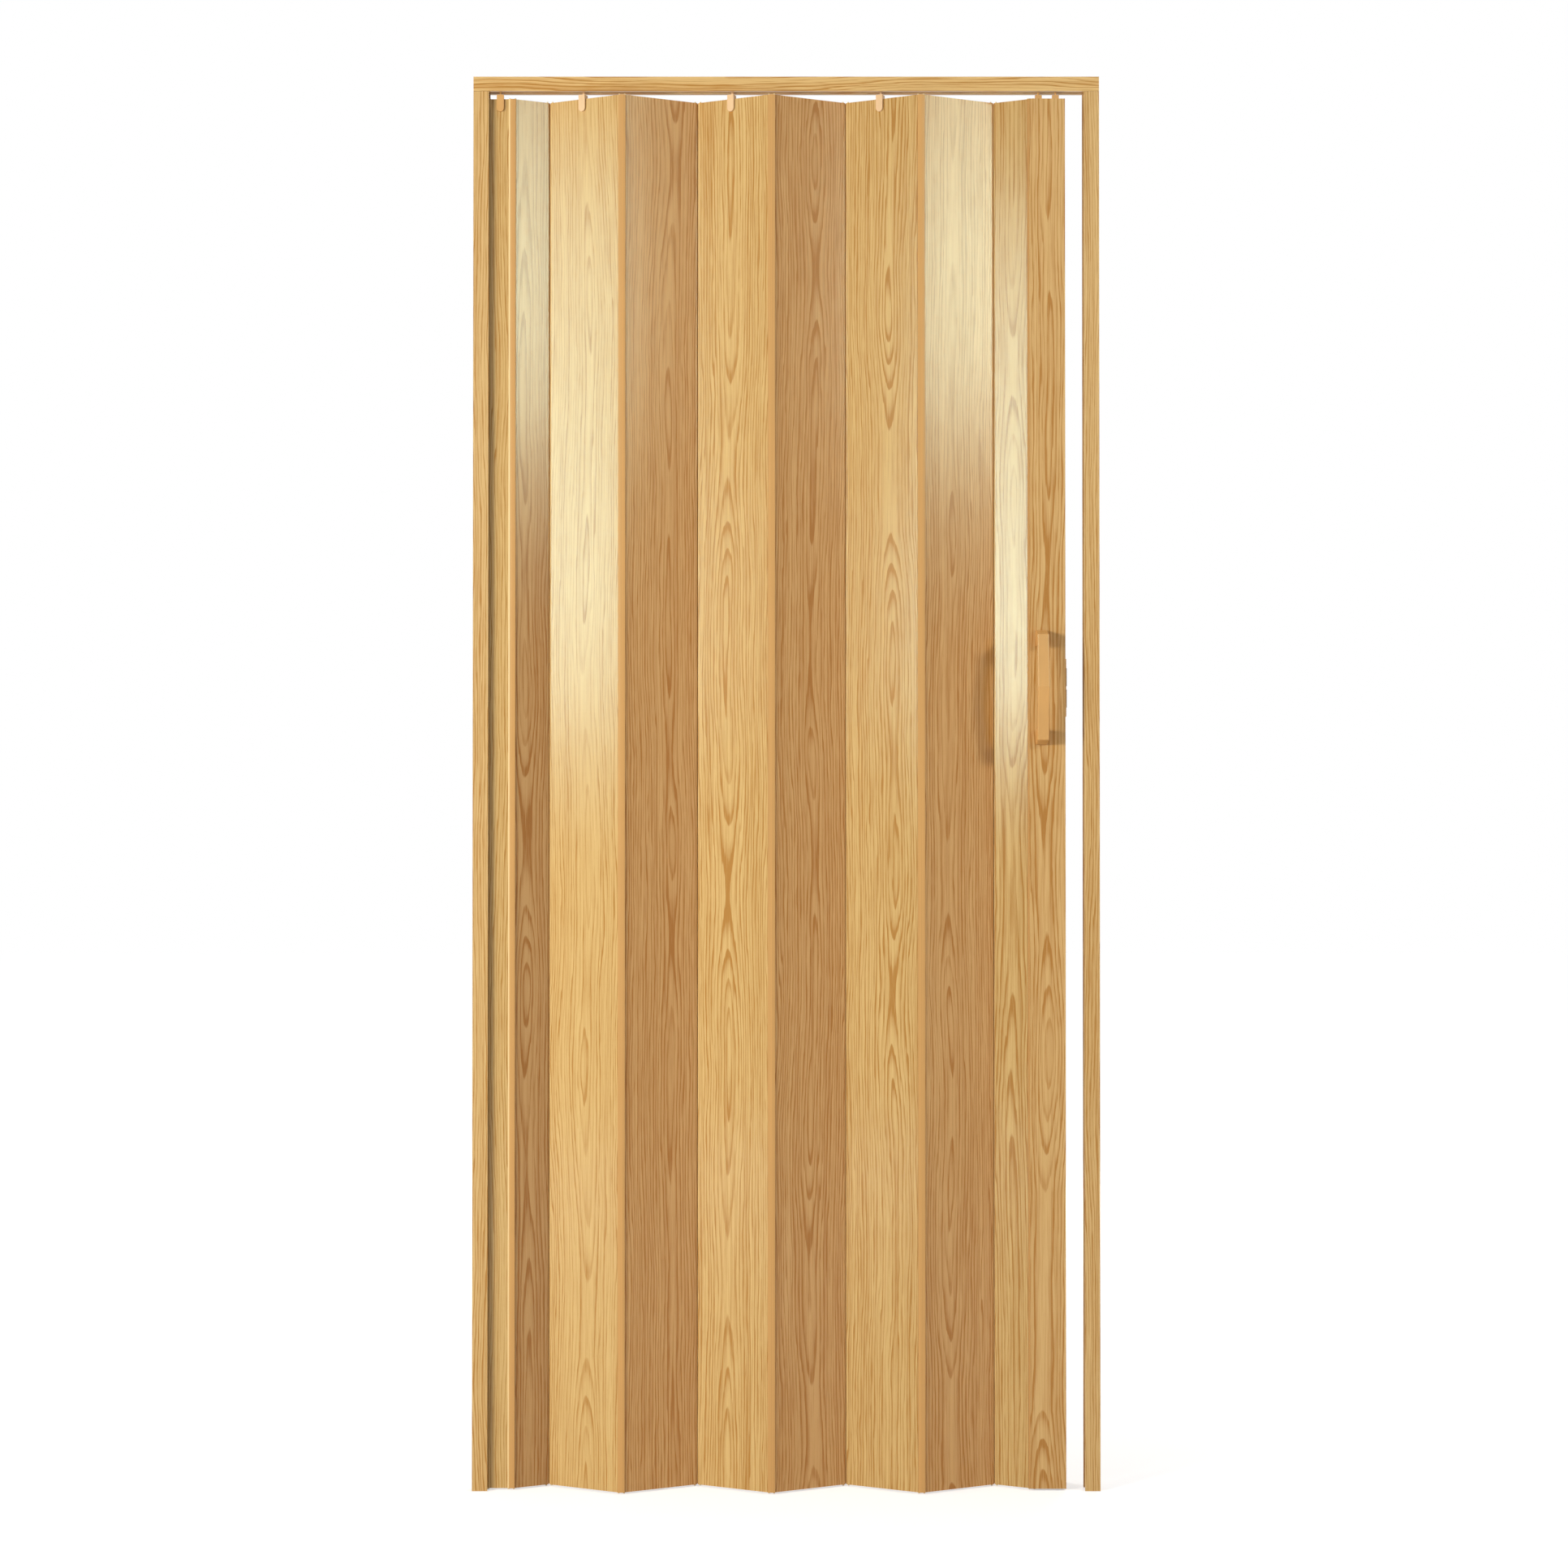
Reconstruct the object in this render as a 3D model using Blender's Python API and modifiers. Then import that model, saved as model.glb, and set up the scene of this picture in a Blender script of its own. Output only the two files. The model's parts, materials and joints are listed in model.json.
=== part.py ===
"""Accordion door: hollow plastic slats that fold on soft connector strips, hung on
gliders in a slotted top rail, between two channel jambs, with a pull on the lead post.

Metres, +Z up, front towards -Y. The origin is on the floor, under the middle of the
rail. The door stands partly closed: the lead post is short of the right jamb.
"""

import math

import bmesh
import bpy
from mathutils import Matrix

MM = 0.001

# Clearances
fit_gap = 0.3 * MM

# Top rail
frame_height = 2050 * MM
rail_depth = 24 * MM
rail_height = 20.8 * MM
rail_wall = 1.6 * MM
slot_width = 7.2 * MM
screw_hole_radius = 2.2 * MM
screw_end_distance = 90 * MM

# Jambs
jamb_width = 22.3 * MM
jamb_wall = 1.6 * MM
jamb_screw_end_distance = 150 * MM

# Slats
slat_thickness = 7.2 * MM
slat_skin = 1.2 * MM
slat_rib = 1.0 * MM
full_span = 110.6 * MM
half_span = 49.6 * MM
start_span = 29.5 * MM
full_slat_count = 6
full_slat_cells = 3
half_slat_cells = 2
start_slat_cells = 1
hang_gap = 9.9 * MM
floor_gap = 2.4 * MM

# Soft connectors
bead_radius = 2.2 * MM
slat_spacing_gap = 0.5 * MM
neck_width = 1.0 * MM
strip_thickness = 1.2 * MM
strip_arch = 0.5 * MM
strip_overhang = 1.3 * MM
tip_height = 2.1 * MM
tip_base_radius = 2.1 * MM
tip_end_radius = 1.2 * MM

# Pose in which the door is modelled, and the fold at which it is stacked away
rest_angle = math.radians(24.7)
stacked_angle = math.radians(80)
start_offset = 0.2 * MM
opening_gap = 26.8 * MM

# Lead post
lead_width = 52.2 * MM
lead_thickness = 15.6 * MM
lead_wall = 1.5 * MM
lead_front_edge = 0.9 * MM
lead_web_from_bolt = 8.3 * MM

# Hangers
hanger_distance = 51.6 * MM
hanger_set_back = 1.0 * MM
start_hanger_distance = 15.9 * MM
pill_width = 10.2 * MM
pill_height = 24.4 * MM
pill_thickness = 2.4 * MM
pill_rise = 6.0 * MM
pill_corner = 0.6 * MM
tongue_width = 8.0 * MM
tongue_length = 14.0 * MM
stem_radius = 1.6 * MM
glider_radius = 6.5 * MM
glider_thickness = 3.2 * MM
lead_hanger_width = 9.8 * MM
lead_hanger_spacing = 24.8 * MM
lead_tongue_width = 4.4 * MM

# Pulls
pull_centre_height = 1162 * MM
pull_offset = 18.2 * MM
pull_width = 16.7 * MM
pull_length = 167 * MM
pull_end_slant = 7 * MM
pull_end_reach = 30 * MM
pull_reach = 40 * MM
pull_foot = 23 * MM
pull_grip = 8.5 * MM
pull_edge_round = 1.2 * MM
bolt_radius = 2.0 * MM
bolt_depth = 14 * MM

# Magnetic catch
catch_length = 84 * MM
catch_width = 11 * MM
catch_thickness = 1.1 * MM
magnet_length = 26 * MM
magnet_width = 7.0 * MM
magnet_depth = 5.0 * MM
magnet_rise = 0.9 * MM
magnet_offset = 15.5 * MM
strike_thickness = 1.5 * MM

# Worked out from the sizes above
barrel_radius = slat_thickness / 2
bore_radius = bead_radius + fit_gap
bead_spacing = slat_thickness + slat_spacing_gap
rail_bottom = frame_height - rail_height
slat_top = rail_bottom - hang_gap
slat_height = slat_top - floor_gap
slat_middle = floor_gap + slat_height / 2
jamb_height = rail_bottom - fit_gap
folding_span = 2 * half_span + full_slat_count * full_span
folding_run = folding_span * math.cos(rest_angle) + (full_slat_count + 1) * bead_spacing
start_run = jamb_width + start_offset + start_span + bead_spacing
lead_edge = lead_front_edge + lead_width
frame_width = start_run + folding_run + lead_edge + opening_gap + jamb_width
left_face = -frame_width / 2
right_face = frame_width / 2
start_bead_x = left_face + jamb_width + start_offset
fold_start_x = left_face + start_run
lead_pivot_x = fold_start_x + folding_run
lead_hanger_first = bead_spacing + bead_radius + fit_gap + lead_hanger_width / 2
lead_hanger_positions = (lead_hanger_first, lead_hanger_first + lead_hanger_spacing)
catch_face = lead_edge + fit_gap + catch_thickness
strike_face = right_face - jamb_wall - fit_gap - strike_thickness
closing_travel = strike_face - fit_gap - lead_pivot_x - catch_face - magnet_rise
closed_angle = math.acos(math.cos(rest_angle) + closing_travel / folding_span)
bolt_rise = (pull_length - pull_foot) / 2

# How finely round shapes are cut into flats, and which edges count as sharp
ARC_STEP = math.radians(24)
ROUND_SIDES = 16
ARCH_STEPS = 4
WELD_DISTANCE = 1e-6
SHARP_ANGLE = math.radians(35)
ROUNDED_ANGLE = math.radians(50)

FOIL = ("grained_foil", (0.62, 0.38, 0.15), 0.38, 0.0)
SOFT = ("connector_plastic", (0.70, 0.38, 0.13), 0.42, 0.0)
MOULDED = ("moulded_plastic", (0.70, 0.40, 0.15), 0.40, 0.0)
STEEL = ("zinc_steel", (0.60, 0.60, 0.58), 0.35, 1.0)
MAGNET = ("magnet", (0.16, 0.15, 0.15), 0.5, 0.6)


def clear_scene():
    for obj in list(bpy.data.objects):
        bpy.data.objects.remove(obj, do_unlink=True)


def collection(name):
    made = bpy.data.collections.new(name)
    bpy.context.scene.collection.children.link(made)
    return made


def material(spec):
    name, colour, roughness, metallic = spec
    made = bpy.data.materials.get(name)
    if made is None:
        made = bpy.data.materials.new(name)
        made.use_nodes = True
        shader = made.node_tree.nodes["Principled BSDF"]
        shader.inputs["Base Color"].default_value = (*colour, 1)
        shader.inputs["Roughness"].default_value = roughness
        shader.inputs["Metallic"].default_value = metallic
    return made


def arc(centre_x, centre_y, radius, start, end):
    """Points along a circle from angle start to angle end, either way round."""
    steps = max(2, math.ceil(abs(end - start) / ARC_STEP))
    angles = [start + (end - start) * i / steps for i in range(steps + 1)]
    return [(centre_x + radius * math.cos(a), centre_y + radius * math.sin(a)) for a in angles]


def rectangle(x0, x1, y0, y1):
    return [(x0, y0), (x1, y0), (x1, y1), (x0, y1)]


def mirrored(points):
    """The same outline with front and back changed over."""
    return [(x, -y) for x, y in reversed(points)]


def outline(name, loops, thickness):
    """A flat outline with holes, in local XY, as thick as given along local Z."""
    curve = bpy.data.curves.new(name, "CURVE")
    curve.dimensions = "2D"
    curve.fill_mode = "BOTH"
    curve.extrude = thickness / 2
    for points in loops:
        spline = curve.splines.new("POLY")
        spline.points.add(len(points) - 1)
        for point, (x, y) in zip(spline.points, points):
            point.co = (x, y, 0, 1)
        spline.use_cyclic_u = True
    made = bpy.data.objects.new(name, curve)
    parts.objects.link(made)
    return made


def solid(made, name):
    """The evaluated shape of an object as a mesh object, its caps welded."""
    bpy.context.view_layer.update()
    graph = bpy.context.evaluated_depsgraph_get()
    mesh = bpy.data.meshes.new_from_object(made.evaluated_get(graph))
    work = bmesh.new()
    work.from_mesh(mesh)
    bmesh.ops.remove_doubles(work, verts=work.verts, dist=WELD_DISTANCE)
    bmesh.ops.recalc_face_normals(work, faces=work.faces)
    work.to_mesh(mesh)
    work.free()
    mesh.name = name
    result = bpy.data.objects.new(name, mesh)
    result.matrix_world = made.matrix_world.copy()
    bpy.data.objects.remove(made, do_unlink=True)
    result.name = name
    parts.objects.link(result)
    return result


def block(name, x, y, z):
    """A box between the given pairs of limits, its origin at the local zero."""
    work = bmesh.new()
    bmesh.ops.create_cube(work, size=1)
    size = (x[1] - x[0], y[1] - y[0], z[1] - z[0])
    middle = ((x[0] + x[1]) / 2, (y[0] + y[1]) / 2, (z[0] + z[1]) / 2)
    bmesh.ops.transform(work, matrix=Matrix.LocRotScale(middle, None, size), verts=work.verts)
    return mesh_object(name, work)


def round_bar(name, radius, end_radius, start, end, axis="Z", at=(0, 0, 0)):
    """A cylinder or cone along one axis, from start to end, through the point at."""
    work = bmesh.new()
    bmesh.ops.create_cone(
        work, cap_ends=True, segments=ROUND_SIDES, radius1=radius, radius2=end_radius,
        depth=end - start,
    )
    turn = {
        "X": Matrix.Rotation(math.radians(90), 4, "Y"),
        "Y": Matrix.Rotation(math.radians(-90), 4, "X"),
        "Z": Matrix.Identity(4),
    }[axis]
    lift = Matrix.Translation((0, 0, (start + end) / 2))
    place = Matrix.Translation(at) @ turn @ lift
    bmesh.ops.transform(work, matrix=place, verts=work.verts)
    return mesh_object(name, work)


def mesh_object(name, work):
    mesh = bpy.data.meshes.new(name)
    work.to_mesh(mesh)
    work.free()
    made = bpy.data.objects.new(name, mesh)
    parts.objects.link(made)
    return made


def combined(base, others, operation):
    """The base with each other solid joined on or cut out of it."""
    name = base.name
    for other in others:
        step = base.modifiers.new(operation.lower(), "BOOLEAN")
        step.operation = operation
        step.object = other
    base = solid(base, name)
    for other in others:
        bpy.data.objects.remove(other, do_unlink=True)
    return base


def finish(made, spec, at=(0, 0, 0), angle=0.0):
    """Place a finished sub-part and give it its material."""
    made.location = at
    made.rotation_euler = (0, 0, angle)
    made.data.materials.clear()
    made.data.materials.append(material(spec))
    if made.type == "MESH":
        made.data.shade_smooth()
        made.data.set_sharp_from_angle(angle=SHARP_ANGLE)
    return made


def socket(centre_x, web_angle, opening):
    """Outline of a barrel that holds a bead, from one side of its web to the other.

    web_angle is where the web joins the barrel, and opening the middle of its mouth.
    """
    half_web = jamb_wall / 2
    lap = math.asin(half_web / barrel_radius)
    half_mouth = math.asin(neck_width / 2 / bore_radius) + fit_gap / bore_radius
    first = opening - half_mouth
    last = opening + half_mouth
    turn = 2 * math.pi
    points = arc(centre_x, 0, barrel_radius, web_angle + lap, first)
    points += arc(centre_x, 0, bore_radius, first, last - turn)
    points += arc(centre_x, 0, barrel_radius, last, web_angle + turn - lap)
    return points


def slat_outline(span, mouth_from, mouth_to):
    """A slat that opens at the back of its left end and the front of its right end.

    The mouth of each barrel is given from the slat's inward direction.
    """
    edge = barrel_radius / math.tan(mouth_from)
    turn = 2 * math.pi
    half = math.pi
    points = [(0, -barrel_radius), (span - edge, -barrel_radius)]
    points += arc(span, 0, bore_radius, half + mouth_from, mouth_to + half - turn)
    points += arc(span, 0, barrel_radius, mouth_to - half, half / 2)
    points += [(edge, barrel_radius)]
    points += arc(0, 0, bore_radius, mouth_from, mouth_to - turn)
    points += arc(0, 0, barrel_radius, mouth_to, 3 * half / 2)[:-1]
    return points


def cells(start, end, count, half_depth):
    """The hollow cells of an extrusion, with a rib between each two."""
    width = (end - start - (count - 1) * slat_rib) / count
    found = []
    for i in range(count):
        left = start + i * (width + slat_rib)
        found.append(rectangle(left, left + width, -half_depth, half_depth))
    return found


def slat(name, span, count, at, angle, to_back, folding=True):
    """One slat, its left bead axis at its origin."""
    reach = math.asin(neck_width / 2 / bore_radius)
    spare = fit_gap / bore_radius
    if folding:
        mouth_from = min(math.pi / 2, math.pi / 2 + closed_angle - reach - spare / 2)
        mouth_to = math.pi / 2 + stacked_angle + reach + spare
    else:
        mouth_from = math.pi / 2 - reach - spare
        mouth_to = math.pi / 2 + reach + spare
    edge = slat_outline(span, mouth_from, mouth_to)
    if to_back:
        edge = mirrored(edge)
    clear_of_bore = barrel_radius + slat_rib
    hollow = cells(clear_of_bore, span - clear_of_bore, count, barrel_radius - slat_skin)
    made = outline(name, [edge] + hollow, slat_height)
    return finish(made, FOIL, at, angle)


def connector(name, at, at_front):
    """A soft strip with two beads, its left bead axis at its origin.

    It is drawn with the arched strip at the front, and turned over for the back.
    """
    half_neck = neck_width / 2
    neck_top = math.sqrt(bead_radius ** 2 - half_neck ** 2)
    lap = math.asin(half_neck / bead_radius)
    inner = -(barrel_radius + fit_gap)
    outer = inner - strip_thickness
    left = -strip_overhang
    right = bead_spacing + strip_overhang
    points = []
    for i in range(ARCH_STEPS + 1):
        across = 2 * i / ARCH_STEPS - 1
        points.append((left + (right - left) * (1 + across) / 2,
                       outer - strip_arch * (1 - across ** 2)))
    points += [(right, inner)]
    for bead_x in (bead_spacing, 0):
        points += [(bead_x + half_neck, inner)]
        around = arc(bead_x, 0, bead_radius, lap - math.pi / 2, 3 * math.pi / 2 - lap)
        points += [(bead_x + half_neck, -neck_top)] + around[1:-1]
        points += [(bead_x - half_neck, -neck_top), (bead_x - half_neck, inner)]
    points += [(left, inner)]
    made = solid(outline(name, [points], slat_height), name)
    tips = []
    foot = slat_height / 2 - tip_height / 2
    for bead_x in (0, bead_spacing):
        for side in (-1, 1):
            tip = round_bar("tip", tip_base_radius, tip_end_radius, foot,
                            slat_height / 2 + tip_height)
            tip.rotation_euler = (0 if side > 0 else math.pi, 0, 0)
            tip.location = (bead_x, 0, 0)
            tips.append(tip)
    made = combined(made, tips, "UNION")
    if not at_front:
        made.data.transform(Matrix.Scale(-1, 4, (0, 1, 0)))
        made.data.flip_normals()
    return finish(made, SOFT, at)


def glider(set_back, foot):
    """Stem and round head that hang in the rail, from the height foot above the slat."""
    head = hang_gap + rail_wall + fit_gap
    chamfer = glider_thickness / 4
    stem = round_bar("stem", stem_radius, stem_radius, foot, head + chamfer,
                     at=(0, set_back, 0))
    lower = round_bar("lower", glider_radius - chamfer, glider_radius, head, head + chamfer,
                      at=(0, set_back, 0))
    upper = round_bar("upper", glider_radius, glider_radius - chamfer,
                      head + chamfer / 2, head + glider_thickness, at=(0, set_back, 0))
    return [stem, lower, upper]


def slat_hanger(name, at, angle):
    """A pill shaped clip on a slat's face, with a tongue in its cell and a glider.

    The origin is on the slat's middle plane at the height of the slat's top.
    """
    half = pill_width / 2
    front = -(barrel_radius + fit_gap)
    bottom = pill_rise - pill_height + half
    edge = arc(0, bottom, half, math.pi, 2 * math.pi)
    shoulder = half - pill_corner
    edge += arc(shoulder, pill_rise - pill_corner, pill_corner, 0, math.pi / 2)
    edge += arc(-shoulder, pill_rise - pill_corner, pill_corner, math.pi / 2, math.pi)
    pill = outline(name, [edge], pill_thickness)
    pill.rotation_euler = (math.pi / 2, 0, 0)
    pill.location = (0, front - pill_thickness / 2, 0)
    pill = solid(pill, name)
    bake(pill)
    tongue_depth = barrel_radius - slat_skin - fit_gap
    bridge = block("bridge", (-half + fit_gap, half - fit_gap),
                   (front - pill_thickness / 2, hanger_set_back + stem_radius + slat_rib),
                   (fit_gap, pill_rise - fit_gap))
    tongue = block("tongue", (-tongue_width / 2, tongue_width / 2),
                   (-tongue_depth, tongue_depth), (-tongue_length, pill_rise / 2))
    pieces = [bridge, tongue] + glider(hanger_set_back, pill_rise / 2 + fit_gap)
    made = combined(pill, pieces, "UNION")
    return finish(made, MOULDED, at, angle)


def lead_hanger(name, along, cell_start):
    """A tab on top of the lead post, with a tongue in its cell and a glider.

    along and cell_start are measured from the axis that the post turns on.
    """
    half = lead_hanger_width / 2
    depth = barrel_radius - slat_skin + fit_gap * 2
    tab = block(name, (-half, half), (-depth, depth), (fit_gap, pill_rise))
    tongue_left = max(-lead_tongue_width / 2, cell_start + fit_gap - along)
    tongue = block("tongue", (tongue_left, tongue_left + lead_tongue_width),
                   (-depth + fit_gap, depth - fit_gap), (-tongue_length, pill_rise / 2))
    made = combined(tab, [tongue] + glider(0, pill_rise / 2 + fit_gap), "UNION")
    return finish(made, MOULDED, (lead_pivot_x + along, 0, slat_top))


def bake(made):
    """Write an object's rotation and location into its mesh."""
    bpy.context.view_layer.update()
    made.data.transform(made.matrix_world)
    made.matrix_world = Matrix.Identity(4)


def top_rail():
    """A box extrusion along X with a slot in its underside and screw holes in its top."""
    half_slot = slot_width / 2
    half = rail_depth / 2
    inner = half - rail_wall
    edge = [(half_slot, 0), (half, 0), (half, rail_height), (-half, rail_height), (-half, 0)]
    edge += [(-half_slot, 0), (-half_slot, rail_wall), (-inner, rail_wall)]
    edge += [(-inner, rail_height - rail_wall), (inner, rail_height - rail_wall)]
    edge += [(inner, rail_wall), (half_slot, rail_wall)]
    made = outline("top_rail", [edge], frame_width)
    made.rotation_euler = (math.pi / 2, 0, math.pi / 2)
    made.location = (0, 0, rail_bottom)
    made = solid(made, "top_rail")
    bake(made)
    reach = frame_width / 2 - screw_end_distance
    holes = []
    for x in (-reach, 0, reach):
        holes.append(round_bar("hole", screw_hole_radius, screw_hole_radius,
                               frame_height - 2 * rail_wall, frame_height + rail_wall,
                               at=(x, 0, 0)))
    return finish(combined(made, holes, "DIFFERENCE"), FOIL)


def jamb(name, edge, face, inwards):
    """A channel extrusion along Z, with screw holes through its base, in front of its middle."""
    made = solid(outline(name, [edge], jamb_height), name)
    made.location = (face, 0, jamb_height / 2)
    bake(made)
    holes = []
    low = jamb_screw_end_distance
    high = jamb_height - jamb_screw_end_distance
    across = screw_hole_radius + jamb_wall
    start, end = sorted((face - inwards * jamb_wall, face + inwards * 2 * jamb_wall))
    for z in (low, (low + high) / 2, high):
        holes.append(round_bar("hole", screw_hole_radius, screw_hole_radius, start, end,
                               "X", (0, -across, z)))
    return finish(combined(made, holes, "DIFFERENCE"), FOIL)


def left_jamb():
    """The fixed side's channel, whose socket holds the bead of the first connector."""
    half = rail_depth / 2
    inner = half - jamb_wall
    wall = jamb_wall / 2
    bead_x = jamb_width + start_offset - bead_spacing
    edge = [(0, -half), (jamb_width, -half), (jamb_width, -inner), (jamb_wall, -inner)]
    edge += [(jamb_wall, -wall)]
    edge += socket(bead_x, math.pi, math.pi * 2.5)
    edge += [(jamb_wall, wall), (jamb_wall, inner), (jamb_width, inner), (jamb_width, half)]
    edge += [(0, half)]
    return jamb("left_jamb", edge, left_face, 1)


def right_jamb():
    """The closing side's channel, which the lead post enters."""
    half = rail_depth / 2
    inner = half - jamb_wall
    edge = [(-jamb_width, -half), (0, -half), (0, half), (-jamb_width, half)]
    edge += [(-jamb_width, inner), (-jamb_wall, inner), (-jamb_wall, -inner)]
    edge += [(-jamb_width, -inner)]
    return jamb("right_jamb", edge, right_face, -1)


def lead_cells():
    """Inner web and the two cells of the lead post, in the post's own frame."""
    first = bead_spacing + barrel_radius + lead_wall
    last = lead_edge - lead_wall
    middle = pull_offset + lead_web_from_bolt
    return (first, middle), (middle + slat_rib, last)


def lead_post():
    """The thick leading extrusion, its origin on the axis of the last slat's bead."""
    half = lead_thickness / 2
    inner = half - lead_wall
    back_edge = barrel_radius + 2 * fit_gap
    web = bead_spacing + barrel_radius
    wall = jamb_wall / 2
    edge = [(lead_front_edge, -half), (lead_edge, -half), (lead_edge, half)]
    edge += [(back_edge, half), (back_edge, inner), (web, inner), (web, wall)]
    edge += socket(bead_spacing, 0, math.pi * 1.5)
    edge += [(web, -wall), (web, -inner), (lead_front_edge, -inner)]
    hollow = [rectangle(a, b, -inner, inner) for a, b in lead_cells()]
    made = solid(outline("lead_post", [edge] + hollow, slat_height), "lead_post")
    level = pull_centre_height - slat_middle
    cutters = []
    for side in (-1, 1):
        z = level + side * bolt_rise
        cutters.append(round_bar("hole", bolt_radius + fit_gap, bolt_radius + fit_gap,
                                 -lead_thickness, lead_thickness, "Y", (pull_offset, 0, z)))
        z = level + side * magnet_offset
        reach = magnet_length / 2 + fit_gap
        wide = magnet_width / 2 + fit_gap
        cutters.append(block("pocket", (lead_edge - 2 * lead_wall, lead_edge + lead_wall),
                             (-wide, wide), (z - reach, z + reach)))
    made = combined(made, cutters, "DIFFERENCE")
    return finish(made, FOIL, (lead_pivot_x, 0, slat_middle))


def pull(name, side):
    """A bow pull in side view, bored at both feet for the bolts. side -1 is the front."""
    half = pull_length / 2
    end = half - pull_end_slant
    bow = pull_reach - pull_end_reach
    radius = (end ** 2 + bow ** 2) / (2 * bow)
    spread = math.asin(end / radius)
    outer = arc(0, pull_reach - radius, radius, math.pi / 2 - spread, math.pi / 2 + spread)
    inner_end = half - pull_foot
    inner_spread = math.asin(inner_end / radius)
    inner_centre = pull_reach - radius - pull_grip
    inner = arc(0, inner_centre, radius, math.pi / 2 + inner_spread, math.pi / 2 - inner_spread)
    edge = [(half, 0)] + outer + [(-half, 0), (-inner_end, 0)]
    edge += inner + [(inner_end, 0)]
    made = outline(name, [edge], pull_width)
    made.rotation_euler = (0, -math.pi / 2, 0)
    made = solid(made, name)
    bake(made)
    rounding = made.modifiers.new("edges", "BEVEL")
    rounding.width = pull_edge_round
    rounding.segments = 2
    rounding.limit_method = "ANGLE"
    rounding.angle_limit = ROUNDED_ANGLE
    made = solid(made, name)
    bores = []
    for level in (-bolt_rise, bolt_rise):
        bores.append(round_bar("bore", bolt_radius + fit_gap, bolt_radius + fit_gap,
                               -fit_gap, bolt_depth + fit_gap, "Y", (0, 0, level)))
    made = combined(made, bores, "DIFFERENCE")
    turn = math.pi if side < 0 else 0
    y = side * (lead_thickness / 2 + fit_gap)
    return finish(made, MOULDED, (lead_pivot_x + pull_offset, y, pull_centre_height), turn)


def pull_bolt(name, level):
    """A bolt through the lead post, from inside one pull's foot to the other's."""
    reach = lead_thickness / 2 + bolt_depth
    made = round_bar(name, bolt_radius, bolt_radius, -reach, reach, "Y")
    return finish(made, STEEL, (lead_pivot_x + pull_offset, 0, pull_centre_height + level))


def catch_plate():
    """The keeper on the lead post's edge, with a window for each magnet."""
    made = block("catch_plate", (0, catch_thickness), (-catch_width / 2, catch_width / 2),
                 (-catch_length / 2, catch_length / 2))
    rounding = made.modifiers.new("edges", "BEVEL")
    rounding.width = catch_thickness / 3
    rounding.segments = 2
    made = solid(made, "catch_plate")
    windows = []
    wide = magnet_width / 2 + fit_gap
    reach = magnet_length / 2 + fit_gap
    for z in (-magnet_offset, magnet_offset):
        windows.append(block("window", (-catch_thickness, 2 * catch_thickness),
                             (-wide, wide), (z - reach, z + reach)))
    made = combined(made, windows, "DIFFERENCE")
    return finish(made, MOULDED, (lead_pivot_x + lead_edge + fit_gap, 0, pull_centre_height))


def magnet(name, offset):
    made = block(name, (catch_face + magnet_rise - magnet_depth, catch_face + magnet_rise),
                 (-magnet_width / 2, magnet_width / 2), (-magnet_length / 2, magnet_length / 2))
    return finish(made, MAGNET, (lead_pivot_x, 0, pull_centre_height + offset))


def strike_plate():
    """The steel strip inside the right jamb that the magnets meet."""
    made = block("strike_plate", (0, strike_thickness), (-catch_width / 2, catch_width / 2),
                 (-catch_length / 2, catch_length / 2))
    return finish(made, STEEL, (strike_face, 0, pull_centre_height))


def fixed_side():
    """The first connector, the start slat and the connector to the first folding slat."""
    connector("connector_0", (start_bead_x - bead_spacing, 0, slat_middle), False)
    slat("start_slat", start_span, start_slat_cells, (start_bead_x, 0, slat_middle), 0,
         False, False)
    slat_hanger("start_hanger", (start_bead_x + start_hanger_distance, 0, slat_top), 0)
    connector("connector_1", (start_bead_x + start_span, 0, slat_middle), True)


def folding_slats():
    """Slats and connectors in turn, to the last slat's bead on the lead post."""
    count = full_slat_count + 2
    x = fold_start_x
    y = 0.0
    for i in range(count):
        to_back = i % 2 == 0
        span = half_span if i in (0, count - 1) else full_span
        sign = 1 if to_back else -1
        angle = sign * rest_angle
        cell_count = half_slat_cells if span == half_span else full_slat_cells
        slat(f"slat_{i + 2}", span, cell_count, (x, y, slat_middle), angle, to_back)
        if not to_back and i < count - 1:
            hanger_x = x + hanger_distance * math.cos(angle)
            hanger_y = y + hanger_distance * math.sin(angle)
            slat_hanger(f"hanger_{i + 2}", (hanger_x, hanger_y, slat_top), angle)
        x += span * math.cos(angle)
        y += span * math.sin(angle)
        connector(f"connector_{i + 2}", (x, y, slat_middle), not to_back)
        x += bead_spacing


def lead_side():
    """The lead post and everything that travels with it."""
    lead_post()
    first_cell, second_cell = lead_cells()
    for name, along, cell in zip(("lead_hanger_left", "lead_hanger_right"),
                                 lead_hanger_positions, (first_cell, second_cell)):
        lead_hanger(name, along, cell[0])
    pull("front_pull", -1)
    pull("rear_pull", 1)
    pull_bolt("pull_bolt_upper", bolt_rise)
    pull_bolt("pull_bolt_lower", -bolt_rise)
    catch_plate()
    magnet("magnet_upper", magnet_offset)
    magnet("magnet_lower", -magnet_offset)


clear_scene()
parts = collection("accordion_door")
top_rail()
left_jamb()
right_jamb()
strike_plate()
fixed_side()
folding_slats()
lead_side()
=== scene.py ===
"""Looks of the accordion door: printed oak foil on the rail, jambs, slats and lead post, plain
tan soft strips with pale bead ends, moulded pulls and hangers, in a white studio."""

import json
import math

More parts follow.
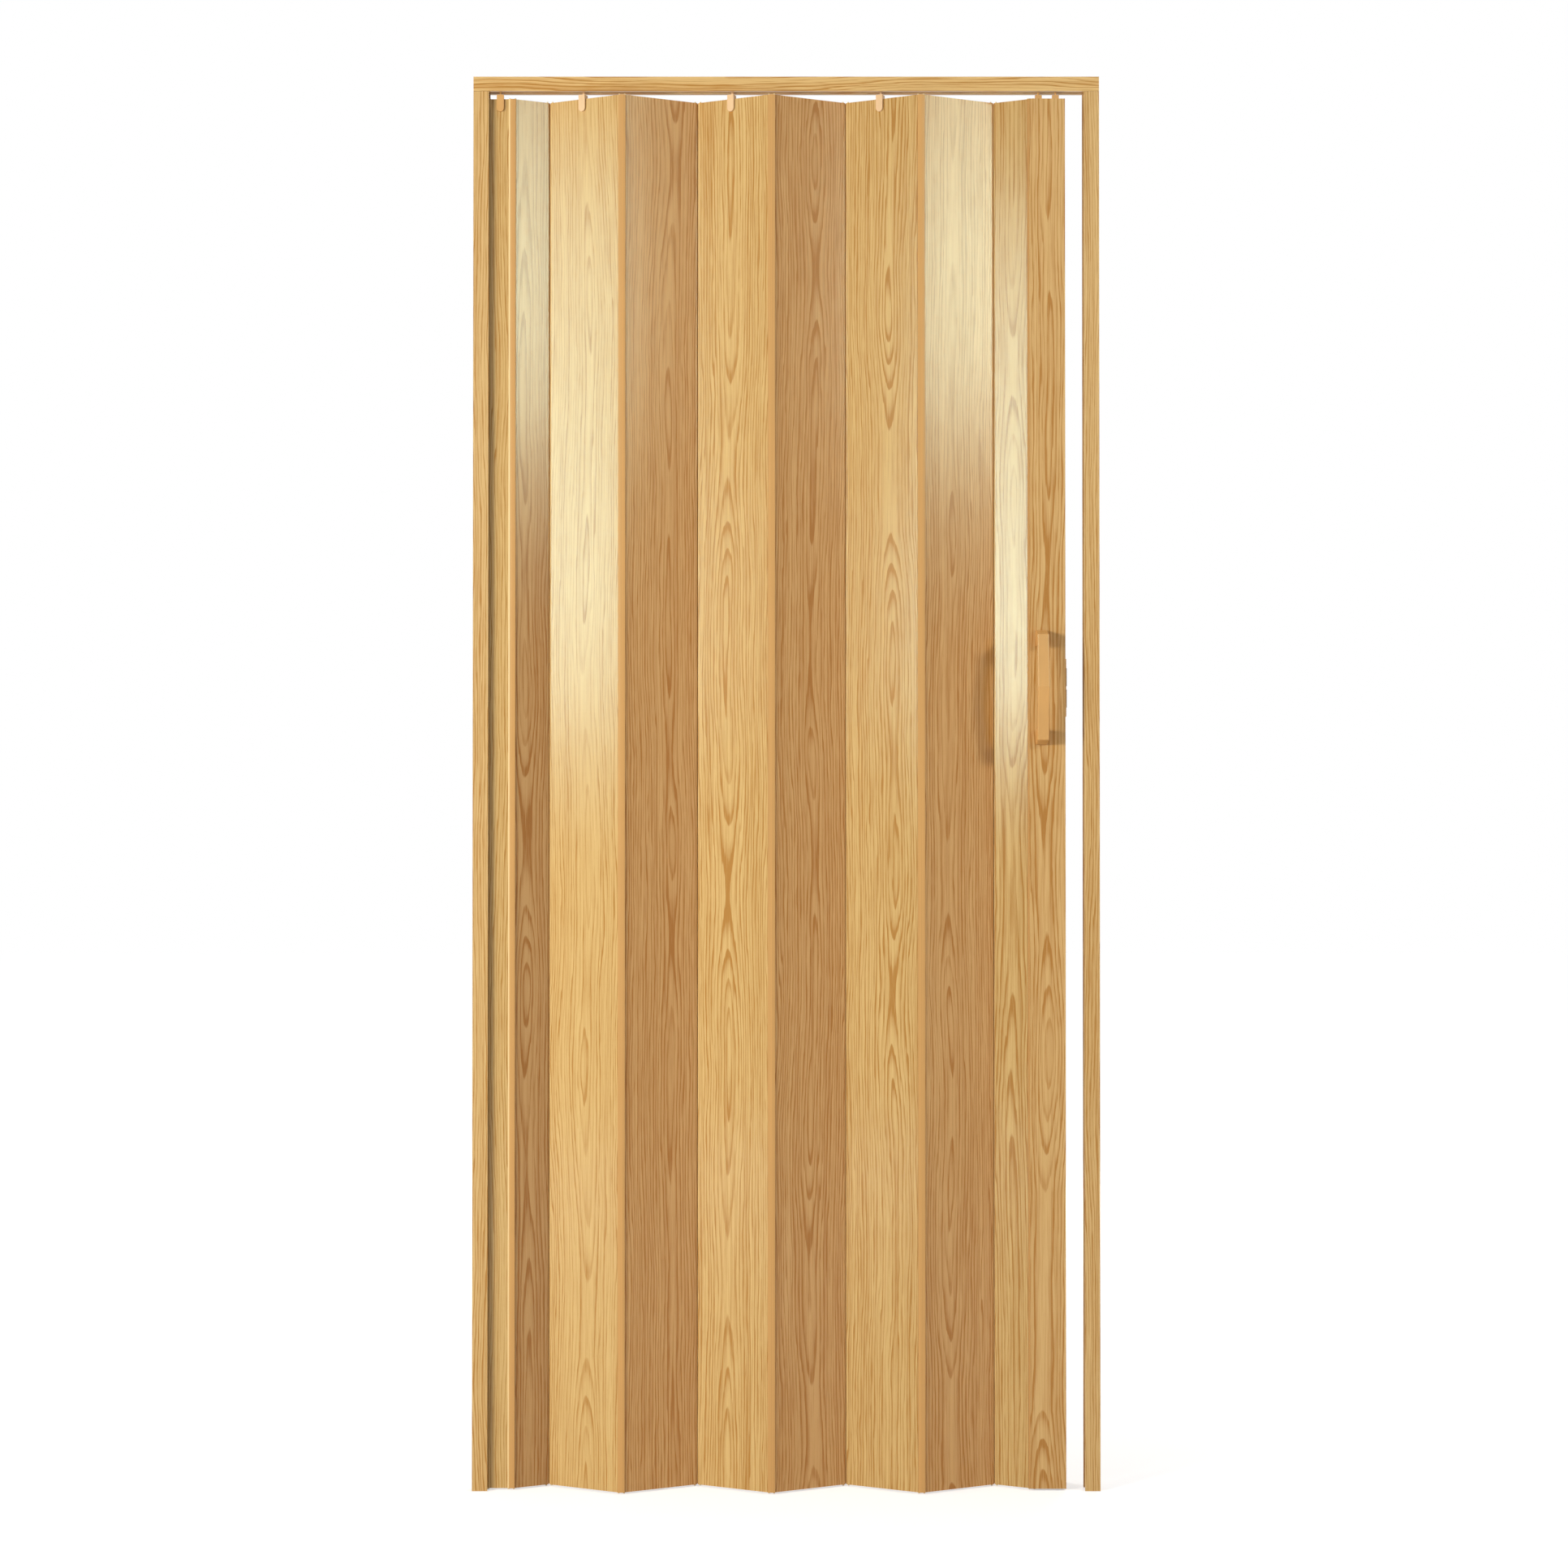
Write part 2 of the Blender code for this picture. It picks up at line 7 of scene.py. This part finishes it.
import bpy
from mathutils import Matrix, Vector

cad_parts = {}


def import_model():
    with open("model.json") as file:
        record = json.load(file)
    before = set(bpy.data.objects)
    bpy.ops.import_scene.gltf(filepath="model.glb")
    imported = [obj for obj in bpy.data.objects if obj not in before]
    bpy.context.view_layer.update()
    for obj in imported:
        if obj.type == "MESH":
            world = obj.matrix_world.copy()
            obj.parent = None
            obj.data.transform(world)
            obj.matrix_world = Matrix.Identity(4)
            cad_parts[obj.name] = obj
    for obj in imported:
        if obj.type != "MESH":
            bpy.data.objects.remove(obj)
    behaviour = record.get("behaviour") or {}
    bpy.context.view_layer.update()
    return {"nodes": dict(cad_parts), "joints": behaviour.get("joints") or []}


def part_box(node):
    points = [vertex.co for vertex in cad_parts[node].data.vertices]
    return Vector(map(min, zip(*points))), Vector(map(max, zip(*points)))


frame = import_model()

MM = 0.001

# Camera, from the photograph's perspective
CAMERA_PLACE = (-0.0032, -3.982, 0.982)
CAMERA_TILT = math.radians(0.58)
CAMERA_LENS = 62.9
SENSOR_WIDTH = 36.0

# The folded slats at rest, as the frame gives them
REST_ANGLE = math.radians(24.7)
FIRST_LEAF, LAST_LEAF = 2, 9
joints = {joint["child"]: joint for joint in frame["joints"]}
rail_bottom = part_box("top_rail")[0][2]
slat_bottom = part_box("slat_4")[0][2]
slat_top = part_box("slat_4")[1][2]
FULL_SLAT_SPAN = 110.6 * MM
HALF_SLAT_SPAN = 49.6 * MM

# Colours, linear
FOIL_LIGHT = (0.70, 0.465, 0.174)
FOIL_DARK = (0.455, 0.215, 0.042)
# Painted highlight on the slats' round edges
EDGE_HIGHLIGHT_TAN = (0.80, 0.52, 0.23)
STRIP_TAN = (0.645, 0.35, 0.115)
# Cream of the painted highlight line on the first strip
STRIP_HIGHLIGHT_CREAM = (0.80, 0.58, 0.27)
TIP_CREAM = (0.80, 0.68, 0.42)
MOULDED_TAN = (0.637, 0.338, 0.101)
# The hanger tabs' tan is lightened, partly as painted reflection
TAB_TAN_AND_REFLECTION = (0.78, 0.50, 0.25)
ZINC = (0.62, 0.61, 0.58)
MAGNET_GREY = (0.10, 0.095, 0.09)
FLOOR_LIGHT = (0.80, 0.80, 0.80)
FLOOR_DARK = (0.78, 0.78, 0.78)

# Factors on the foil's colours. Slats that face right are painted warmer and darker, as shade
# for facing away from the key lamp.
PLAIN_TONE = (1.0, 1.0, 1.0)
RIGHT_FACING_SHADE_TONE = (0.97, 0.845, 0.84)
JAMB_TONE = (0.94, 0.93, 1.0)
LEAD_TONE = (0.92, 0.87, 0.90)
RAIL_TONE = (1.02, 1.01, 1.06)
# The start slat is darkened as painted shade from the jamb it sits in. Each slat's factor is
# partly the print's own tone and partly painted shade from how the light falls on it.
START_PAINTED_SHADE = 0.92
SLAT_TONE_AND_PAINTED_SHADE = {2: 0.78, 3: 0.94, 4: 0.95, 5: 0.94, 6: 0.95, 7: 0.91, 8: 0.98, 9: 0.86}

# Strength of the grain. Slats that aren't listed have 1.
SLAT_FIGURES = {3: 0.7}
START_FIGURE = 0.7
RAIL_FIGURE = 1.3
JAMB_FIGURE = 0.8

# Which stretch of the printed foil each piece is cut from
SLAT_SEED_STEP = 7.3
START_SEED = 2.9
POST_SEED = 71.3
RAIL_SEED = 11.7
JAMB_SEEDS = {"left_jamb": 5.1, "right_jamb": 8.6}

# Where the board's heart lies across each piece
FULL_SLAT_HEART = 55 * MM
HALF_SLAT_HEART = 25 * MM
HEART_DRIFT = 16 * MM
HEART_DRIFT_STEP = 2.1
START_HEART = 60 * MM
POST_HEART = 16 * MM
RAIL_HEART = -40 * MM
JAMB_HEART = 60 * MM

# Growth rings: their spacing at the heart, and how they crowd away from it
RING_STEP = 5.8 * MM
RING_CROWDING = 1.12
LATE_WOOD = ((0.0, 0.0), (0.35, 0.05), (0.62, 0.35), (0.80, 1.0), (0.93, 0.9), (1.0, 0.0))

# How far each layer of the print darkens the foil
BASE_SHADE = 0.14
LATE_SHADE = 1.55
FIBRE_SHADE = 0.8
STREAK_SHADE = 0.45
BROAD_SHADE = 0.3
PORE_SHADE = 0.15

# Roughness of the foil
SLAT_GLOSS = 0.12
POST_GLOSS = 0.22
FRAME_GLOSS = 0.30

# A painted highlight along a slat's round edges, where the barrels catch the light, begins and
# is full this far past its bead axes
EDGE_HIGHLIGHT_FROM = 1.2 * MM
EDGE_HIGHLIGHT_TO = 2.2 * MM
EDGE_HIGHLIGHT_SHARE = 0.7

# How far left of the first bead the first strip's painted highlight line reaches
HIGHLIGHT_LINE_REACH = 7.2 * MM
SOFT_SPECULAR = 0.25
NOISE_LOW, NOISE_HIGH = 0.3, 0.7

# Light that the door gets from the world, and what the camera and mirrors see there
WORLD_FILL = 0.24
WORLD_SEEN = 1.0

# The floor's own glow in the camera's eye, by distance from the door in metres
GLOW_RADII = (0.8, 3.5)
GLOW_LEVELS = (0.46, 0.81)

# Name, place, size and power in watts
DOOR_MIDDLE = (0, 0, 1.05)
PLAIN_LAMPS = (
    ("key_left", (-3.45, -2.89, 1.60), (1.8, 0.8), 176),
    ("fill_right", (2.42, -1.25, 1.95), (0.45, 0.30), 25),
    ("fill_back", (0.90, 3.40, 1.70), (1.8, 0.9), 62),
    ("fill_top", (0.0, -0.05, 4.20), (2.0, 0.6), 19),
)

# How a strip lamp's light changes from its foot, 0, to its head, 1
LEFT_FADE = ((0.0, 0.0), (0.11, 0.26), (0.22, 0.78), (0.34, 1.0), (0.52, 0.97), (0.80, 0.65),
             (0.93, 0.28), (1.0, 0.0))
RIGHT_FADE = ((0.0, 0.0), (0.15, 0.12), (0.23, 0.26), (0.31, 0.52), (0.39, 0.82),
              (0.47, 0.97), (0.62, 1.0), (0.84, 0.7), (1.0, 0.3))
LOW_FADE = ((0.0, 0.0), (0.053, 0.09), (0.11, 0.28), (0.164, 0.60), (0.22, 0.86),
            (0.274, 1.0), (0.384, 0.96), (0.516, 0.83), (0.66, 0.73), (0.825, 0.44),
            (0.93, 0.06), (1.0, 0.0))

# Name, x, y, foot, head, width, x of the point it faces, radiance, tint and fade
STRIP_LAMPS = (
    ("strip_far_left", -1.85, -1.080, 0.90, 2.52, 0.34, -0.30, 14, (0.47, 0.97, 1.0),
     LEFT_FADE),
    ("strip_near_left", -1.06, -1.390, 0.90, 2.50, 0.184, 0.35, 24, (0.67, 1.0, 0.95),
     LOW_FADE),
    ("strip_near_right", 1.06, -1.480, 1.35, 2.75, 0.25, -0.35, 25, (0.79, 1.0, 0.76),
     RIGHT_FADE),
    ("strip_far_right", 1.85, -1.150, 1.35, 2.75, 0.31, 0.30, 21.8, (0.73, 1.0, 0.785),
     RIGHT_FADE),
)


def set_stops(node, stops):
    """Set a grey colour ramp's stops, each a position and a level."""
    points = node.color_ramp.elements
    while len(points) < len(stops):
        points.new(0.5)
    for point, (at, level) in zip(points, stops):
        point.position = at
        point.color = (level, level, level, 1)


class Tree:
    """A material's nodes, written as short calls that hand on their output sockets."""

    def __init__(self, name):
        self.material = bpy.data.materials.new(name)
        self.material.use_nodes = True
        self.nodes = self.material.node_tree.nodes
        self.links = self.material.node_tree.links
        self.shader = self.nodes["Principled BSDF"]

    def feed(self, socket, value):
        """Link a socket or set a constant. None leaves the default."""
        if isinstance(value, bpy.types.NodeSocket):
            self.links.new(value, socket)
        elif value is not None:
            socket.default_value = value

    def place(self):
        return self.nodes.new("ShaderNodeTexCoord").outputs["Object"]

    def local(self, origin, turn):
        """Object coordinates seen from an origin and a turn about X, Y and Z."""
        node = self.nodes.new("ShaderNodeMapping")
        node.vector_type = "TEXTURE"
        node.inputs["Location"].default_value = origin
        node.inputs["Rotation"].default_value = turn
        self.feed(node.inputs["Vector"], self.place())
        return node.outputs["Vector"]

    def split(self, vector):
        node = self.nodes.new("ShaderNodeSeparateXYZ")
        self.feed(node.inputs[0], vector)
        return node.outputs[0], node.outputs[1], node.outputs[2]

    def join(self, x, y, z):
        node = self.nodes.new("ShaderNodeCombineXYZ")
        for socket, value in zip(node.inputs, (x, y, z)):
            self.feed(socket, value)
        return node.outputs[0]

    def math(self, operation, a, b=None):
        node = self.nodes.new("ShaderNodeMath")
        node.operation = operation
        for socket, value in zip(node.inputs, (a, b)):
            self.feed(socket, value)
        return node.outputs[0]

    def add(self, *values):
        total = values[0]
        for value in values[1:]:
            total = self.math("ADD", total, value)
        return total

    def length(self, a, b):
        """Length of a vector with two components."""
        return self.math("SQRT", self.add(self.math("MULTIPLY", a, a),
                                          self.math("MULTIPLY", b, b)))

    def noise(self, place, size, seed=0.0, detail=1.0, rough=0.5):
        """Cloud of value 0 to 1 whose spots have the given size along X, Y and Z."""
        parts = [self.math("MULTIPLY", value, 1 / step) for value, step in zip(place, size)]
        parts[1] = self.math("ADD", parts[1], seed)
        node = self.nodes.new("ShaderNodeTexNoise")
        self.feed(node.inputs["Vector"], self.join(*parts))
        node.inputs["Scale"].default_value = 1.0
        node.inputs["Detail"].default_value = detail
        node.inputs["Roughness"].default_value = rough
        return node.outputs["Fac"]

    def ramp(self, value, stops):
        node = self.nodes.new("ShaderNodeValToRGB")
        self.feed(node.inputs[0], value)
        set_stops(node, stops)
        return node.outputs[0]

    def range(self, value, low, high, to_low=0.0, to_high=1.0):
        node = self.nodes.new("ShaderNodeMapRange")
        self.feed(node.inputs["Value"], value)
        node.inputs["From Min"].default_value = low
        node.inputs["From Max"].default_value = high
        node.inputs["To Min"].default_value = to_low
        node.inputs["To Max"].default_value = to_high
        return node.outputs["Result"]

    def sway(self, value, reach, low=0, high=1):
        """Turn a value from low to high into one from minus to plus the reach."""
        return self.range(value, low, high, -reach, reach)

    def blend(self, factor, a, b):
        node = self.nodes.new("ShaderNodeMix")
        node.data_type = "RGBA"
        self.feed(node.inputs["Factor"], factor)
        for socket, value in ((node.inputs[6], a), (node.inputs[7], b)):
            if isinstance(value, tuple):
                value = (*value, 1)
            self.feed(socket, value)
        return node.outputs[2]

    def finish(self, colour, roughness, height, bump, distance):
        """Feed the shader, with a bump from a height of 0 to 1, and return the material."""
        self.feed(self.shader.inputs["Base Color"], colour)
        self.feed(self.shader.inputs["Roughness"], roughness)
        node = self.nodes.new("ShaderNodeBump")
        node.inputs["Strength"].default_value = bump
        node.inputs["Distance"].default_value = distance
        self.feed(node.inputs["Height"], height)
        self.feed(self.shader.inputs["Normal"], node.outputs[0])
        return self.material


def scaled(colour, factor):
    return tuple(channel * factor for channel in colour)


def toned(colour, tone_and_shade):
    return tuple(channel * factor for channel, factor in zip(colour, tone_and_shade))


def growth_rings(tree, place, seed, heart, swing):
    """Dark late wood of a plain sawn board, 0 to 1, with long pointed arches.

    heart is where the board's heart lies across it, and swing how far the rings' middle
    moves below and above the face along the board.
    """
    x, _, z = place
    wander = tree.noise(place, (0.3, 1, 0.5), seed)
    wobble = tree.noise(place, (12 * MM, 1, 140 * MM), seed + 4)
    jitter = tree.noise(place, (3.5 * MM, 1, 45 * MM), seed + 6)
    across = tree.add(x, -heart, tree.sway(wander, 7 * MM, NOISE_LOW, NOISE_HIGH),
                      tree.sway(wobble, 4 * MM), tree.sway(jitter, 1.3 * MM))
    depth = tree.noise(place, (3, 1, 0.62), seed * 1.7 + 3)
    below = tree.sway(depth, swing, NOISE_LOW, NOISE_HIGH)
    radius = tree.length(across, below)
    rings = tree.math("POWER", tree.math("MULTIPLY", radius, 1 / RING_STEP), RING_CROWDING)
    late = tree.ramp(tree.math("FRACT", rings), LATE_WOOD)
    number = tree.math("FLOOR", rings)
    uneven = tree.noise((number, z, number), (0.53, 0.55, 0.71), seed, detail=0)
    feather = tree.noise(place, (0.9 * MM, 1, 30 * MM), seed + 8)
    late = tree.math("MULTIPLY", late, tree.range(uneven, 0.32, 0.60, 0.35, 1.0))
    return tree.math("MULTIPLY", late, tree.range(feather, 0.25, 0.6, 0.35, 1.0))


def foil(name, origin, turn, seed, heart, tone_and_shade=PLAIN_TONE, swing=20 * MM, gloss=SLAT_GLOSS,
         figure=1.0, span=None):
    """Printed oak foil. In its local frame X runs across the grain and Z along it.

    The grain is laid out over x + y, so that it wraps round a profile's side faces. figure
    is the strength of the grain. The tone factor on the colours also carries painted shade
    for the slats. A span, the distance between a slat's bead axes, gives it a pale painted
    highlight along its round ends, where the barrels catch the light.
    """
    tree = Tree(name)
    x, y, z = tree.split(tree.local(origin, turn))
    place = (tree.add(x, y), y, z)
    late = growth_rings(tree, place, seed, heart, swing)
    fibre = tree.noise(place, (1.3 * MM, 1, 80 * MM), seed + 1, detail=2, rough=0.6)
    streak = tree.noise(place, (3.6 * MM, 1, 0.4), seed + 2, detail=2)
    broad = tree.noise(place, (15 * MM, 1, 1.1), seed + 3)
    pores = tree.noise(place, (0.5 * MM, 1, 8 * MM), seed + 5)
    pores = tree.range(pores, 0.58, 0.72)
    shade = tree.add(tree.range(late, 0, 1, BASE_SHADE, BASE_SHADE + LATE_SHADE * figure),
                     tree.sway(fibre, FIBRE_SHADE * figure),
                     tree.sway(streak, STREAK_SHADE * figure),
                     tree.sway(broad, BROAD_SHADE * figure),
                     tree.range(pores, 0, 1, 0, PORE_SHADE))
    shade = tree.range(shade, 0, 1)
    colour = tree.blend(shade, toned(FOIL_LIGHT, tone_and_shade), toned(FOIL_DARK, tone_and_shade))
    # Painted highlight along the round ends, where the barrels catch the light
    if span is not None:
        edge_highlight = tree.math("MAXIMUM", tree.range(x, -EDGE_HIGHLIGHT_TO, -EDGE_HIGHLIGHT_FROM, EDGE_HIGHLIGHT_SHARE, 0),
                         tree.range(x, span + EDGE_HIGHLIGHT_FROM, span + EDGE_HIGHLIGHT_TO, 0, EDGE_HIGHLIGHT_SHARE))
        colour = tree.blend(tree.math("MULTIPLY", edge_highlight, tree.range(fibre, 0.1, 0.6, 0.6, 1)),
                            colour, EDGE_HIGHLIGHT_TAN)
    relief = tree.add(tree.range(pores, 0, 1, 0.6, 0), tree.range(late, 0, 1, 0.25, 0),
                      tree.range(fibre, 0, 1, 0, 0.25))
    sheen = tree.add(tree.range(fibre, 0.2, 0.8, gloss - 0.02, gloss + 0.04),
                     tree.range(pores, 0, 1, 0, 0.06))
    tree.shader.inputs["Specular IOR Level"].default_value = SOFT_SPECULAR
    return tree.finish(colour, sheen, relief, bump=0.06, distance=0.1 * MM)


def soft_plastic(name, highlight_left=None):
    """Plain flexible strip: faint draw lines, scuffs, a fine skin, and pale bead ends.

    If an edge is given, the strip is cream left of it, a painted highlight line.
    """
    tree = Tree(name)
    place = tree.split(tree.place())
    x, _, z = place
    worn_tan = scaled(STRIP_TAN, 0.86)
    lines = tree.noise(place, (1.1 * MM, 1.1 * MM, 0.6), detail=2)
    cloud = tree.noise(place, (0.05, 0.05, 0.2), detail=2)
    skin = tree.noise(place, (0.5 * MM,) * 3, detail=2)
    tint = tree.blend(tree.range(lines, 0.35, 0.7), STRIP_TAN, worn_tan)
    tint = tree.blend(tree.range(cloud, NOISE_LOW, NOISE_HIGH, 0, 0.4), tint, worn_tan)
    # A cream line of painted highlight left of the given edge
    if highlight_left is not None:
        edge = tree.range(x, highlight_left, highlight_left + 0.6 * MM, 1, 0)
        tint = tree.blend(edge, tint, STRIP_HIGHLIGHT_CREAM)
    above = tree.range(z, slat_top, slat_top + 0.3 * MM)
    below = tree.range(z, slat_bottom - 0.3 * MM, slat_bottom, 1, 0)
    tint = tree.blend(tree.math("MAXIMUM", above, below), tint, TIP_CREAM)
    rough = tree.range(cloud, 0, 1, 0.34, 0.46)
    height = tree.add(tree.range(lines, 0, 1, 0, 0.6), tree.range(skin, 0, 1, 0, 0.4))
    tree.shader.inputs["Specular IOR Level"].default_value = SOFT_SPECULAR
    return tree.finish(tint, rough, height, bump=0.10, distance=0.1 * MM)


def moulded_plastic(name, colour):
    """Injection moulded plastic: a fine spark texture, soft flow marks and handling wear."""
    tree = Tree(name)
    place = tree.split(tree.place())
    spark = tree.noise(place, (0.45 * MM,) * 3, detail=3, rough=0.7)
    flow = tree.noise(place, (18 * MM, 18 * MM, 60 * MM), detail=2)
    wear = tree.noise(place, (6 * MM, 6 * MM, 30 * MM), detail=4)
    tint = tree.blend(tree.range(flow, NOISE_LOW, NOISE_HIGH), colour, scaled(colour, 0.92))
    rough = tree.range(wear, 0.4, 0.7, 0.28, 0.38)
    return tree.finish(tint, rough, spark, bump=0.08, distance=0.05 * MM)


def metal(name, colour, rough, metallic):
    """Plated steel or a ground magnet: fine brushing and dull patches."""
    tree = Tree(name)
    place = tree.split(tree.place())
    brush = tree.noise(place, (3 * MM, 0.4 * MM, 0.4 * MM), detail=3)
    patch = tree.noise(place, (5 * MM,) * 3, detail=3)
    tint = tree.blend(tree.range(patch, 0.35, 0.7), colour, scaled(colour, 0.75))
    level = tree.range(patch, 0, 1, rough, rough + 0.2)
    tree.shader.inputs["Metallic"].default_value = metallic
    return tree.finish(tint, level, brush, bump=0.15, distance=0.05 * MM)


def dress(node, material):
    """Give a CAD node its finish."""
    made = frame["nodes"][node]
    made.data.materials.clear()
    made.data.materials.append(material)


def dress_slats():
    """Each slat, and the lead post, is cut from its own stretch of the printed foil."""
    for number in range(FIRST_LEAF, LAST_LEAF + 1):
        at = joints[f"leaf_{number}"]["pos_m"]
        sign = 1 if number % 2 == 0 else -1
        full = FIRST_LEAF < number < LAST_LEAF
        middle = FULL_SLAT_HEART if full else HALF_SLAT_HEART
        span = FULL_SLAT_SPAN if full else HALF_SLAT_SPAN
        drift = HEART_DRIFT * math.sin(number * HEART_DRIFT_STEP)
        turn = (0, 0, sign * REST_ANGLE)
        # Right-facing slats get painted shade, and each slat a factor that is partly its own
        # tone, partly painted shade
        tone_and_shade = scaled(RIGHT_FACING_SHADE_TONE if sign == 1 else PLAIN_TONE, SLAT_TONE_AND_PAINTED_SHADE[number])
        dress(f"slat_{number}", foil(f"slat_foil_{number}", (at[0], at[1], 0), turn,
                                     number * SLAT_SEED_STEP, middle + drift, tone_and_shade,
                                     span=span, figure=SLAT_FIGURES.get(number, 1.0)))
    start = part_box("start_slat")[0][0]
    # Darkened as painted shade from the jamb
    dress("start_slat", foil("start_foil", (start, 0, 0), (0, 0, 0), START_SEED, START_HEART,
                             scaled(PLAIN_TONE, START_PAINTED_SHADE), figure=START_FIGURE))
    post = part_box("lead_post")[0][0]
    dress("lead_post", foil("lead_foil", (post, 0, 0), (0, 0, 0), POST_SEED, POST_HEART,
                            LEAD_TONE, gloss=POST_GLOSS))


def dress_frame():
    """The rail's grain runs along it, the jambs' upwards."""
    along_x = (0, math.radians(90), 0)
    dress("top_rail", foil("rail_foil", (0, 0, rail_bottom), along_x, RAIL_SEED, RAIL_HEART,
                           RAIL_TONE, gloss=FRAME_GLOSS, figure=RAIL_FIGURE))
    for name, seed in JAMB_SEEDS.items():
        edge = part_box(name)[0][0]
        dress(name, foil(name + "_foil", (edge, 0, 0), (0, 0, 0), seed, JAMB_HEART,
                         JAMB_TONE, gloss=FRAME_GLOSS, figure=JAMB_FIGURE))


def dress_small_parts():
    """Strips, hangers, pulls, catch and fasteners. The first folding strip has a painted
    highlight line, and the hanger tabs' lighter tan is partly painted reflection.
    """
    strips = soft_plastic("strip_plastic")
    first_bead = joints["leaf_2"]["pos_m"][0]
    # The first strip carries a painted highlight line
    highlit_strip = soft_plastic("first_strip_highlit_plastic", first_bead - HIGHLIGHT_LINE_REACH)
    moulded = moulded_plastic("moulded_tan", MOULDED_TAN)
    # Tabs lightened partly as painted reflection
    tabs = moulded_plastic("tab_tan_and_reflection", TAB_TAN_AND_REFLECTION)
    zinc = metal("zinc_plate", ZINC, 0.28, 1.0)
    dark = metal("magnet_dark", MAGNET_GREY, 0.45, 0.5)
    for name in frame["nodes"]:
        if name == "connector_1":
            dress(name, highlit_strip)
        elif name.startswith("connector"):
            dress(name, strips)
        elif name.startswith("hanger"):
            dress(name, tabs)
        elif name.startswith("magnet"):
            dress(name, dark)
        elif name.startswith("pull_bolt") or name == "strike_plate":
            dress(name, zinc)
        elif "hanger" in name or name.endswith("_pull") or name == "catch_plate":
            dress(name, moulded)


def floor():
    """A pale floor that the camera sees as white, apart from the door's soft shadow."""
    bpy.ops.mesh.primitive_plane_add(size=30, location=(0, 0, -0.3 * MM))
    made = bpy.context.object
    made.name = "studio_floor"
    tree = Tree("floor_paper")
    path = tree.nodes.new("ShaderNodeLightPath")
    seen = tree.math("MAXIMUM", path.outputs["Is Camera Ray"], path.outputs["Is Glossy Ray"])
    seen = tree.math("MAXIMUM", seen, path.outputs["Is Transmission Ray"])
    place = tree.split(tree.place())
    radius = tree.length(place[0], place[1])
    glow = tree.range(radius, *GLOW_RADII, *GLOW_LEVELS)
    fleck = tree.noise(place, (25 * MM,) * 3, detail=2)
    colour = tree.blend(tree.range(fleck, NOISE_LOW, NOISE_HIGH), FLOOR_LIGHT, FLOOR_DARK)
    tree.shader.inputs["Specular IOR Level"].default_value = 0.0
    tree.shader.inputs["Emission Color"].default_value = (1, 1, 1, 1)
    tree.feed(tree.shader.inputs["Emission Strength"], tree.math("MULTIPLY", seen, glow))
    made.data.materials.append(tree.finish(colour, 0.9, fleck, bump=0.05, distance=0.1 * MM))


def world():
    """Even pale light all round, and plain white where the camera looks past the door."""
    made = bpy.data.worlds.new("studio")
    bpy.context.scene.world = made
    made.use_nodes = True
    nodes = made.node_tree.nodes
    links = made.node_tree.links
    background = nodes["Background"]
    background.inputs["Color"].default_value = (1, 1, 1, 1)
    path = nodes.new("ShaderNodeLightPath")
    mirror = nodes.new("ShaderNodeMath")
    mirror.operation = "MAXIMUM"
    links.new(path.outputs["Is Glossy Ray"], mirror.inputs[0])
    links.new(path.outputs["Is Transmission Ray"], mirror.inputs[1])
    seen = nodes.new("ShaderNodeMath")
    seen.operation = "MAXIMUM"
    links.new(path.outputs["Is Camera Ray"], seen.inputs[0])
    links.new(mirror.outputs[0], seen.inputs[1])
    level = nodes.new("ShaderNodeMapRange")
    level.inputs["To Min"].default_value = WORLD_FILL
    level.inputs["To Max"].default_value = WORLD_SEEN
    links.new(seen.outputs[0], level.inputs["Value"])
    links.new(level.outputs["Result"], background.inputs["Strength"])


def lamp(name, place, target, size, power):
    """A rectangular lamp facing a point."""
    data = bpy.data.lights.new(name, "AREA")
    data.shape = "RECTANGLE"
    data.size, data.size_y = size
    data.energy = power
    made = bpy.data.objects.new(name, data)
    bpy.context.scene.collection.objects.link(made)
    made.location = place
    made.rotation_euler = (Vector(target) - Vector(place)).to_track_quat("-Z", "Y").to_euler()
    made.visible_camera = False
    return made


def soften_ends(data, fade):
    """Let a lamp's light fade towards its ends, by stops of height and level."""
    data.use_nodes = True
    nodes = data.node_tree.nodes
    links = data.node_tree.links
    along = nodes.new("ShaderNodeSeparateXYZ")
    links.new(nodes.new("ShaderNodeNewGeometry").outputs["Parametric"], along.inputs[0])
    ramp = nodes.new("ShaderNodeValToRGB")
    set_stops(ramp, fade)
    links.new(along.outputs[1], ramp.inputs[0])
    links.new(ramp.outputs[0], nodes["Emission"].inputs["Strength"])


def lamps():
    """Plain lamps that light the door, and strips that only show as cream reflections in
    the glossy foil."""
    for name, place, size, power in PLAIN_LAMPS:
        lamp(name, place, DOOR_MIDDLE, size, power).visible_glossy = False
    for name, x, y, low, high, width, faces_x, radiance, tint, fade in STRIP_LAMPS:
        middle = (low + high) / 2
        made = lamp(name, (x, y, middle), (faces_x, 0, middle), (width, high - low),
                    radiance * math.pi * width * (high - low))
        made.data.color = tint
        made.visible_diffuse = False
        soften_ends(made.data, fade)


def camera():
    data = bpy.data.cameras.new("photo_camera")
    data.lens = CAMERA_LENS
    data.sensor_width = SENSOR_WIDTH
    made = bpy.data.objects.new("photo_camera", data)
    bpy.context.scene.collection.objects.link(made)
    made.location = CAMERA_PLACE
    made.rotation_euler = (math.radians(90) + CAMERA_TILT, 0, 0)
    bpy.context.scene.camera = made


bpy.context.scene.view_settings.view_transform = "Standard"
camera()
dress_slats()
dress_frame()
dress_small_parts()
floor()
world()
lamps()
